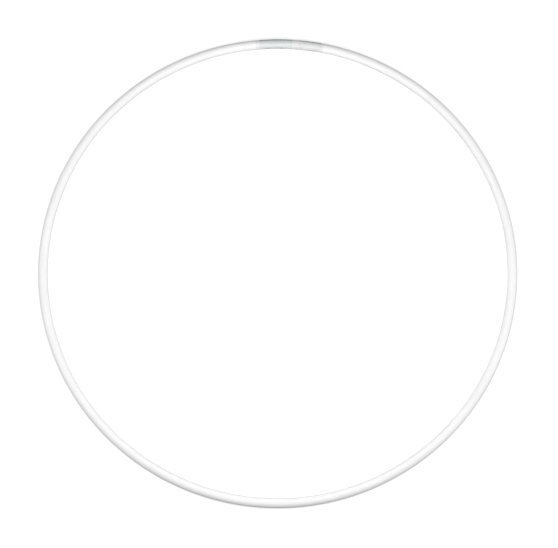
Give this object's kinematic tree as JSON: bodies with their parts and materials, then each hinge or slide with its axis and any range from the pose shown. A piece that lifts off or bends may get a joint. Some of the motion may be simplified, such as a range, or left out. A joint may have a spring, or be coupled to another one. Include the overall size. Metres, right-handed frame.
{
  "type": "rhythmic gymnastics hoop",
  "caption": "Rigid plastic tube hoop for rhythmic gymnastics: one coiled tube whose butt joint is plugged, riveted, labelled and wrapped in clear film.",
  "frame": {"origin": "on the surface that the hoop lies on, below the centre of its ring", "axes": "+Z is the hoop's axle, up from the surface; +Y points from the centre to the joint in the tube; +X completes a right-handed frame"},
  "size_m": [0.8858, 0.8861, 0.0183],
  "materials": {
    "tube_plastic": "milky white extruded polyethylene, satin gloss, with faint draw lines and light floor scuffs",
    "connector_plastic": "natural white moulded nylon",
    "rivet_aluminium": "plain aluminium, lightly brushed",
    "mandrel_steel": "zinc-plated steel, broken end",
    "teal_foil": "printed polypropylene foil, pale teal",
    "grey_foil": "printed polypropylene foil, pale grey",
    "clear_film": "clear glossy polypropylene film"
  },
  "bodies": {
    "root": {"hoop_tube": "tube_plastic", "joint_connector": "connector_plastic", "rivet_sleeve_1": "rivet_aluminium", "rivet_sleeve_2": "rivet_aluminium", "rivet_sleeve_3": "rivet_aluminium", "rivet_sleeve_4": "rivet_aluminium", "rivet_mandrel_1": "mandrel_steel", "rivet_mandrel_2": "mandrel_steel", "rivet_mandrel_3": "mandrel_steel", "rivet_mandrel_4": "mandrel_steel", "maker_sticker": "teal_foil", "approval_sticker": "grey_foil", "joint_wrap": "clear_film"}
  },
  "joints": []
}
